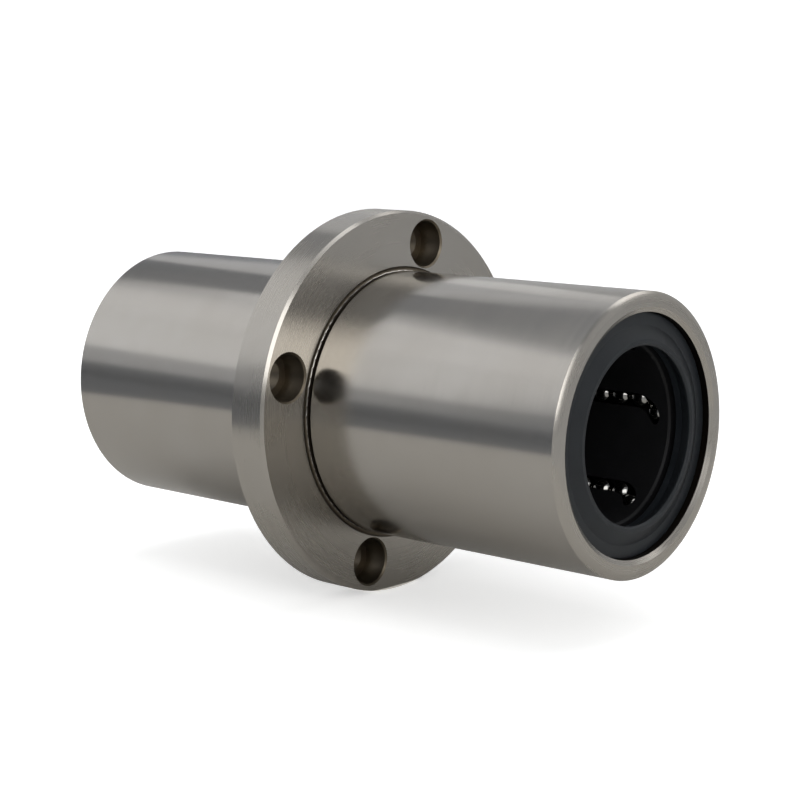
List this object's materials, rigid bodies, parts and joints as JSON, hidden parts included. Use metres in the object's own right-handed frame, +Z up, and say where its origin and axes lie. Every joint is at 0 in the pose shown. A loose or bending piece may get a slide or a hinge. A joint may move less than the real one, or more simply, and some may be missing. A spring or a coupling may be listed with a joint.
{
  "type": "linear ball bushing",
  "caption": "Long cylindrical linear ball bearing with a round centre flange, recirculating ball circuits in a resin cage and a lip seal at each end.",
  "frame": {"origin": "on the shaft's axis, at the middle of the flange and of the sleeve", "axes": "+X along the shaft, towards the side the bolt heads are sunk into; +Z up; the first bolt hole is 75 degrees from +Y towards +Z"},
  "size_m": [0.192, 0.116, 0.116],
  "materials": {
    "bearing_steel": "ground, satin",
    "cage_resin": "moulded, matt black",
    "ball_steel": "lapped, mirror",
    "seal_rubber": "moulded rubber, dark grey",
    "spring_steel": "phosphated spring steel"
  },
  "bodies": {
    "sleeve_assembly": {"outer_sleeve": "bearing_steel", "centre_spacer": "cage_resin", "front_ball_retainer": "cage_resin", "front_snap_ring": "spring_steel", "front_seal_stiffener": "spring_steel", "front_seal": "seal_rubber", "rear_ball_retainer": "cage_resin", "rear_snap_ring": "spring_steel", "rear_seal_stiffener": "spring_steel", "rear_seal": "seal_rubber"},
    "front_load_balls_1": {"front_load_balls_1": "ball_steel"},
    "front_return_balls_1": {"front_return_balls_1": "ball_steel"},
    "front_outer_turn_balls_1": {"front_outer_turn_balls_1": "ball_steel"},
    "front_inner_turn_balls_1": {"front_inner_turn_balls_1": "ball_steel"},
    "front_load_balls_2": {"front_load_balls_2": "ball_steel"},
    "front_return_balls_2": {"front_return_balls_2": "ball_steel"},
    "front_outer_turn_balls_2": {"front_outer_turn_balls_2": "ball_steel"},
    "front_inner_turn_balls_2": {"front_inner_turn_balls_2": "ball_steel"},
    "front_load_balls_3": {"front_load_balls_3": "ball_steel"},
    "front_return_balls_3": {"front_return_balls_3": "ball_steel"},
    "front_outer_turn_balls_3": {"front_outer_turn_balls_3": "ball_steel"},
    "front_inner_turn_balls_3": {"front_inner_turn_balls_3": "ball_steel"},
    "front_load_balls_4": {"front_load_balls_4": "ball_steel"},
    "front_return_balls_4": {"front_return_balls_4": "ball_steel"},
    "front_outer_turn_balls_4": {"front_outer_turn_balls_4": "ball_steel"},
    "front_inner_turn_balls_4": {"front_inner_turn_balls_4": "ball_steel"},
    "front_load_balls_5": {"front_load_balls_5": "ball_steel"},
    "front_return_balls_5": {"front_return_balls_5": "ball_steel"},
    "front_outer_turn_balls_5": {"front_outer_turn_balls_5": "ball_steel"},
    "front_inner_turn_balls_5": {"front_inner_turn_balls_5": "ball_steel"},
    "front_load_balls_6": {"front_load_balls_6": "ball_steel"},
    "front_return_balls_6": {"front_return_balls_6": "ball_steel"},
    "front_outer_turn_balls_6": {"front_outer_turn_balls_6": "ball_steel"},
    "front_inner_turn_balls_6": {"front_inner_turn_balls_6": "ball_steel"},
    "rear_load_balls_1": {"rear_load_balls_1": "ball_steel"},
    "rear_return_balls_1": {"rear_return_balls_1": "ball_steel"},
    "rear_outer_turn_balls_1": {"rear_outer_turn_balls_1": "ball_steel"},
    "rear_inner_turn_balls_1": {"rear_inner_turn_balls_1": "ball_steel"},
    "rear_load_balls_2": {"rear_load_balls_2": "ball_steel"},
    "rear_return_balls_2": {"rear_return_balls_2": "ball_steel"},
    "rear_outer_turn_balls_2": {"rear_outer_turn_balls_2": "ball_steel"},
    "rear_inner_turn_balls_2": {"rear_inner_turn_balls_2": "ball_steel"},
    "rear_load_balls_3": {"rear_load_balls_3": "ball_steel"},
    "rear_return_balls_3": {"rear_return_balls_3": "ball_steel"},
    "rear_outer_turn_balls_3": {"rear_outer_turn_balls_3": "ball_steel"},
    "rear_inner_turn_balls_3": {"rear_inner_turn_balls_3": "ball_steel"},
    "rear_load_balls_4": {"rear_load_balls_4": "ball_steel"},
    "rear_return_balls_4": {"rear_return_balls_4": "ball_steel"},
    "rear_outer_turn_balls_4": {"rear_outer_turn_balls_4": "ball_steel"},
    "rear_inner_turn_balls_4": {"rear_inner_turn_balls_4": "ball_steel"},
    "rear_load_balls_5": {"rear_load_balls_5": "ball_steel"},
    "rear_return_balls_5": {"rear_return_balls_5": "ball_steel"},
    "rear_outer_turn_balls_5": {"rear_outer_turn_balls_5": "ball_steel"},
    "rear_inner_turn_balls_5": {"rear_inner_turn_balls_5": "ball_steel"},
    "rear_load_balls_6": {"rear_load_balls_6": "ball_steel"},
    "rear_return_balls_6": {"rear_return_balls_6": "ball_steel"},
    "rear_outer_turn_balls_6": {"rear_outer_turn_balls_6": "ball_steel"},
    "rear_inner_turn_balls_6": {"rear_inner_turn_balls_6": "ball_steel"}
  },
  "joints": [
    {"name": "front_load_run_1", "type": "slide", "parent": "sleeve_assembly", "child": "front_load_balls_1", "axis": [1, 0, 0], "range_m": [-0.00067, 0.00603]},
    {"name": "front_return_run_1", "type": "slide", "parent": "sleeve_assembly", "child": "front_return_balls_1", "axis": [1, 0, 0], "range_m": [-0.00603, 0.00067]},
    {"name": "front_outer_turn_1", "type": "hinge", "parent": "sleeve_assembly", "child": "front_outer_turn_balls_1", "pos_m": [0.07602, 0.02889, -0.00065], "axis": [0, 0.9799, 0.1994], "range_deg": [-6.01, 54.01]},
    {"name": "front_inner_turn_1", "type": "hinge", "parent": "sleeve_assembly", "child": "front_inner_turn_balls_1", "pos_m": [0.01571, 0.02889, -0.00065], "axis": [0, 0.9799, 0.1994], "range_deg": [-6.01, 54.01]},
    {"name": "front_load_run_2", "type": "slide", "parent": "sleeve_assembly", "child": "front_load_balls_2", "axis": [1, 0, 0], "range_m": [-0.00067, 0.00603]},
    {"name": "front_return_run_2", "type": "slide", "parent": "sleeve_assembly", "child": "front_return_balls_2", "axis": [1, 0, 0], "range_m": [-0.00603, 0.00067]},
    {"name": "front_outer_turn_2", "type": "hinge", "parent": "sleeve_assembly", "child": "front_outer_turn_balls_2", "pos_m": [0.07602, 0.01501, 0.02469], "axis": [0, 0.3173, 0.9483], "range_deg": [-6.01, 54.01]},
    {"name": "front_inner_turn_2", "type": "hinge", "parent": "sleeve_assembly", "child": "front_inner_turn_balls_2", "pos_m": [0.01571, 0.01501, 0.02469], "axis": [0, 0.3173, 0.9483], "range_deg": [-6.01, 54.01]},
    {"name": "front_load_run_3", "type": "slide", "parent": "sleeve_assembly", "child": "front_load_balls_3", "axis": [1, 0, 0], "range_m": [-0.00067, 0.00603]},
    {"name": "front_return_run_3", "type": "slide", "parent": "sleeve_assembly", "child": "front_return_balls_3", "axis": [1, 0, 0], "range_m": [-0.00603, 0.00067]},
    {"name": "front_outer_turn_3", "type": "hinge", "parent": "sleeve_assembly", "child": "front_outer_turn_balls_3", "pos_m": [0.07602, -0.01388, 0.02534], "axis": [0, -0.6626, 0.749], "range_deg": [-6.01, 54.01]},
    {"name": "front_inner_turn_3", "type": "hinge", "parent": "sleeve_assembly", "child": "front_inner_turn_balls_3", "pos_m": [0.01571, -0.01388, 0.02534], "axis": [0, -0.6626, 0.749], "range_deg": [-6.01, 54.01]},
    {"name": "front_load_run_4", "type": "slide", "parent": "sleeve_assembly", "child": "front_load_balls_4", "axis": [1, 0, 0], "range_m": [-0.00067, 0.00603]},
    {"name": "front_return_run_4", "type": "slide", "parent": "sleeve_assembly", "child": "front_return_balls_4", "axis": [1, 0, 0], "range_m": [-0.00603, 0.00067]},
    {"name": "front_outer_turn_4", "type": "hinge", "parent": "sleeve_assembly", "child": "front_outer_turn_balls_4", "pos_m": [0.07602, -0.02889, 0.00065], "axis": [0, -0.9799, -0.1994], "range_deg": [-6.01, 54.01]},
    {"name": "front_inner_turn_4", "type": "hinge", "parent": "sleeve_assembly", "child": "front_inner_turn_balls_4", "pos_m": [0.01571, -0.02889, 0.00065], "axis": [0, -0.9799, -0.1994], "range_deg": [-6.01, 54.01]},
    {"name": "front_load_run_5", "type": "slide", "parent": "sleeve_assembly", "child": "front_load_balls_5", "axis": [1, 0, 0], "range_m": [-0.00067, 0.00603]},
    {"name": "front_return_run_5", "type": "slide", "parent": "sleeve_assembly", "child": "front_return_balls_5", "axis": [1, 0, 0], "range_m": [-0.00603, 0.00067]},
    {"name": "front_outer_turn_5", "type": "hinge", "parent": "sleeve_assembly", "child": "front_outer_turn_balls_5", "pos_m": [0.07602, -0.01501, -0.02469], "axis": [0, -0.3173, -0.9483], "range_deg": [-6.01, 54.01]},
    {"name": "front_inner_turn_5", "type": "hinge", "parent": "sleeve_assembly", "child": "front_inner_turn_balls_5", "pos_m": [0.01571, -0.01501, -0.02469], "axis": [0, -0.3173, -0.9483], "range_deg": [-6.01, 54.01]},
    {"name": "front_load_run_6", "type": "slide", "parent": "sleeve_assembly", "child": "front_load_balls_6", "axis": [1, 0, 0], "range_m": [-0.00067, 0.00603]},
    {"name": "front_return_run_6", "type": "slide", "parent": "sleeve_assembly", "child": "front_return_balls_6", "axis": [1, 0, 0], "range_m": [-0.00603, 0.00067]},
    {"name": "front_outer_turn_6", "type": "hinge", "parent": "sleeve_assembly", "child": "front_outer_turn_balls_6", "pos_m": [0.07602, 0.01388, -0.02534], "axis": [0, 0.6626, -0.749], "range_deg": [-6.01, 54.01]},
    {"name": "front_inner_turn_6", "type": "hinge", "parent": "sleeve_assembly", "child": "front_inner_turn_balls_6", "pos_m": [0.01571, 0.01388, -0.02534], "axis": [0, 0.6626, -0.749], "range_deg": [-6.01, 54.01]},
    {"name": "rear_load_run_1", "type": "slide", "parent": "sleeve_assembly", "child": "rear_load_balls_1", "axis": [-1, 0, 0], "range_m": [-0.00067, 0.00603]},
    {"name": "rear_return_run_1", "type": "slide", "parent": "sleeve_assembly", "child": "rear_return_balls_1", "axis": [-1, 0, 0], "range_m": [-0.00603, 0.00067]},
    {"name": "rear_outer_turn_1", "type": "hinge", "parent": "sleeve_assembly", "child": "rear_outer_turn_balls_1", "pos_m": [-0.07602, 0.02633, 0.01189], "axis": [0, 0.9799, 0.1994], "range_deg": [-6.01, 54.01]},
    {"name": "rear_inner_turn_1", "type": "hinge", "parent": "sleeve_assembly", "child": "rear_inner_turn_balls_1", "pos_m": [-0.01571, 0.02633, 0.01189], "axis": [0, 0.9799, 0.1994], "range_deg": [-6.01, 54.01]},
    {"name": "rear_load_run_2", "type": "slide", "parent": "sleeve_assembly", "child": "rear_load_balls_2", "axis": [-1, 0, 0], "range_m": [-0.00067, 0.00603]},
    {"name": "rear_return_run_2", "type": "slide", "parent": "sleeve_assembly", "child": "rear_return_balls_2", "axis": [-1, 0, 0], "range_m": [-0.00603, 0.00067]},
    {"name": "rear_outer_turn_2", "type": "hinge", "parent": "sleeve_assembly", "child": "rear_outer_turn_balls_2", "pos_m": [-0.07602, 0.00287, 0.02875], "axis": [0, 0.3173, 0.9483], "range_deg": [-6.01, 54.01]},
    {"name": "rear_inner_turn_2", "type": "hinge", "parent": "sleeve_assembly", "child": "rear_inner_turn_balls_2", "pos_m": [-0.01571, 0.00287, 0.02875], "axis": [0, 0.3173, 0.9483], "range_deg": [-6.01, 54.01]},
    {"name": "rear_load_run_3", "type": "slide", "parent": "sleeve_assembly", "child": "rear_load_balls_3", "axis": [-1, 0, 0], "range_m": [-0.00067, 0.00603]},
    {"name": "rear_return_run_3", "type": "slide", "parent": "sleeve_assembly", "child": "rear_return_balls_3", "axis": [-1, 0, 0], "range_m": [-0.00603, 0.00067]},
    {"name": "rear_outer_turn_3", "type": "hinge", "parent": "sleeve_assembly", "child": "rear_outer_turn_balls_3", "pos_m": [-0.07602, -0.02346, 0.01686], "axis": [0, -0.6626, 0.749], "range_deg": [-6.01, 54.01]},
    {"name": "rear_inner_turn_3", "type": "hinge", "parent": "sleeve_assembly", "child": "rear_inner_turn_balls_3", "pos_m": [-0.01571, -0.02346, 0.01686], "axis": [0, -0.6626, 0.749], "range_deg": [-6.01, 54.01]},
    {"name": "rear_load_run_4", "type": "slide", "parent": "sleeve_assembly", "child": "rear_load_balls_4", "axis": [-1, 0, 0], "range_m": [-0.00067, 0.00603]},
    {"name": "rear_return_run_4", "type": "slide", "parent": "sleeve_assembly", "child": "rear_return_balls_4", "axis": [-1, 0, 0], "range_m": [-0.00603, 0.00067]},
    {"name": "rear_outer_turn_4", "type": "hinge", "parent": "sleeve_assembly", "child": "rear_outer_turn_balls_4", "pos_m": [-0.07602, -0.02633, -0.01189], "axis": [0, -0.9799, -0.1994], "range_deg": [-6.01, 54.01]},
    {"name": "rear_inner_turn_4", "type": "hinge", "parent": "sleeve_assembly", "child": "rear_inner_turn_balls_4", "pos_m": [-0.01571, -0.02633, -0.01189], "axis": [0, -0.9799, -0.1994], "range_deg": [-6.01, 54.01]},
    {"name": "rear_load_run_5", "type": "slide", "parent": "sleeve_assembly", "child": "rear_load_balls_5", "axis": [-1, 0, 0], "range_m": [-0.00067, 0.00603]},
    {"name": "rear_return_run_5", "type": "slide", "parent": "sleeve_assembly", "child": "rear_return_balls_5", "axis": [-1, 0, 0], "range_m": [-0.00603, 0.00067]},
    {"name": "rear_outer_turn_5", "type": "hinge", "parent": "sleeve_assembly", "child": "rear_outer_turn_balls_5", "pos_m": [-0.07602, -0.00287, -0.02875], "axis": [0, -0.3173, -0.9483], "range_deg": [-6.01, 54.01]},
    {"name": "rear_inner_turn_5", "type": "hinge", "parent": "sleeve_assembly", "child": "rear_inner_turn_balls_5", "pos_m": [-0.01571, -0.00287, -0.02875], "axis": [0, -0.3173, -0.9483], "range_deg": [-6.01, 54.01]},
    {"name": "rear_load_run_6", "type": "slide", "parent": "sleeve_assembly", "child": "rear_load_balls_6", "axis": [-1, 0, 0], "range_m": [-0.00067, 0.00603]},
    {"name": "rear_return_run_6", "type": "slide", "parent": "sleeve_assembly", "child": "rear_return_balls_6", "axis": [-1, 0, 0], "range_m": [-0.00603, 0.00067]},
    {"name": "rear_outer_turn_6", "type": "hinge", "parent": "sleeve_assembly", "child": "rear_outer_turn_balls_6", "pos_m": [-0.07602, 0.02346, -0.01686], "axis": [0, 0.6626, -0.749], "range_deg": [-6.01, 54.01]},
    {"name": "rear_inner_turn_6", "type": "hinge", "parent": "sleeve_assembly", "child": "rear_inner_turn_balls_6", "pos_m": [-0.01571, 0.02346, -0.01686], "axis": [0, 0.6626, -0.749], "range_deg": [-6.01, 54.01]}
  ],
  "couplings": [
    {"joint": "front_return_run_1", "follows": "front_load_run_1", "ratio": -1},
    {"joint": "front_outer_turn_1", "follows": "front_load_run_1", "rad_per_m": 156.25},
    {"joint": "front_inner_turn_1", "follows": "front_load_run_1", "rad_per_m": 156.25},
    {"joint": "front_return_run_2", "follows": "front_load_run_2", "ratio": -1},
    {"joint": "front_outer_turn_2", "follows": "front_load_run_2", "rad_per_m": 156.25},
    {"joint": "front_inner_turn_2", "follows": "front_load_run_2", "rad_per_m": 156.25},
    {"joint": "front_return_run_3", "follows": "front_load_run_3", "ratio": -1},
    {"joint": "front_outer_turn_3", "follows": "front_load_run_3", "rad_per_m": 156.25},
    {"joint": "front_inner_turn_3", "follows": "front_load_run_3", "rad_per_m": 156.25},
    {"joint": "front_return_run_4", "follows": "front_load_run_4", "ratio": -1},
    {"joint": "front_outer_turn_4", "follows": "front_load_run_4", "rad_per_m": 156.25},
    {"joint": "front_inner_turn_4", "follows": "front_load_run_4", "rad_per_m": 156.25},
    {"joint": "front_return_run_5", "follows": "front_load_run_5", "ratio": -1},
    {"joint": "front_outer_turn_5", "follows": "front_load_run_5", "rad_per_m": 156.25},
    {"joint": "front_inner_turn_5", "follows": "front_load_run_5", "rad_per_m": 156.25},
    {"joint": "front_return_run_6", "follows": "front_load_run_6", "ratio": -1},
    {"joint": "front_outer_turn_6", "follows": "front_load_run_6", "rad_per_m": 156.25},
    {"joint": "front_inner_turn_6", "follows": "front_load_run_6", "rad_per_m": 156.25},
    {"joint": "rear_return_run_1", "follows": "rear_load_run_1", "ratio": -1},
    {"joint": "rear_outer_turn_1", "follows": "rear_load_run_1", "rad_per_m": 156.25},
    {"joint": "rear_inner_turn_1", "follows": "rear_load_run_1", "rad_per_m": 156.25},
    {"joint": "rear_return_run_2", "follows": "rear_load_run_2", "ratio": -1},
    {"joint": "rear_outer_turn_2", "follows": "rear_load_run_2", "rad_per_m": 156.25},
    {"joint": "rear_inner_turn_2", "follows": "rear_load_run_2", "rad_per_m": 156.25},
    {"joint": "rear_return_run_3", "follows": "rear_load_run_3", "ratio": -1},
    {"joint": "rear_outer_turn_3", "follows": "rear_load_run_3", "rad_per_m": 156.25},
    {"joint": "rear_inner_turn_3", "follows": "rear_load_run_3", "rad_per_m": 156.25},
    {"joint": "rear_return_run_4", "follows": "rear_load_run_4", "ratio": -1},
    {"joint": "rear_outer_turn_4", "follows": "rear_load_run_4", "rad_per_m": 156.25},
    {"joint": "rear_inner_turn_4", "follows": "rear_load_run_4", "rad_per_m": 156.25},
    {"joint": "rear_return_run_5", "follows": "rear_load_run_5", "ratio": -1},
    {"joint": "rear_outer_turn_5", "follows": "rear_load_run_5", "rad_per_m": 156.25},
    {"joint": "rear_inner_turn_5", "follows": "rear_load_run_5", "rad_per_m": 156.25},
    {"joint": "rear_return_run_6", "follows": "rear_load_run_6", "ratio": -1},
    {"joint": "rear_outer_turn_6", "follows": "rear_load_run_6", "rad_per_m": 156.25},
    {"joint": "rear_inner_turn_6", "follows": "rear_load_run_6", "rad_per_m": 156.25}
  ]
}
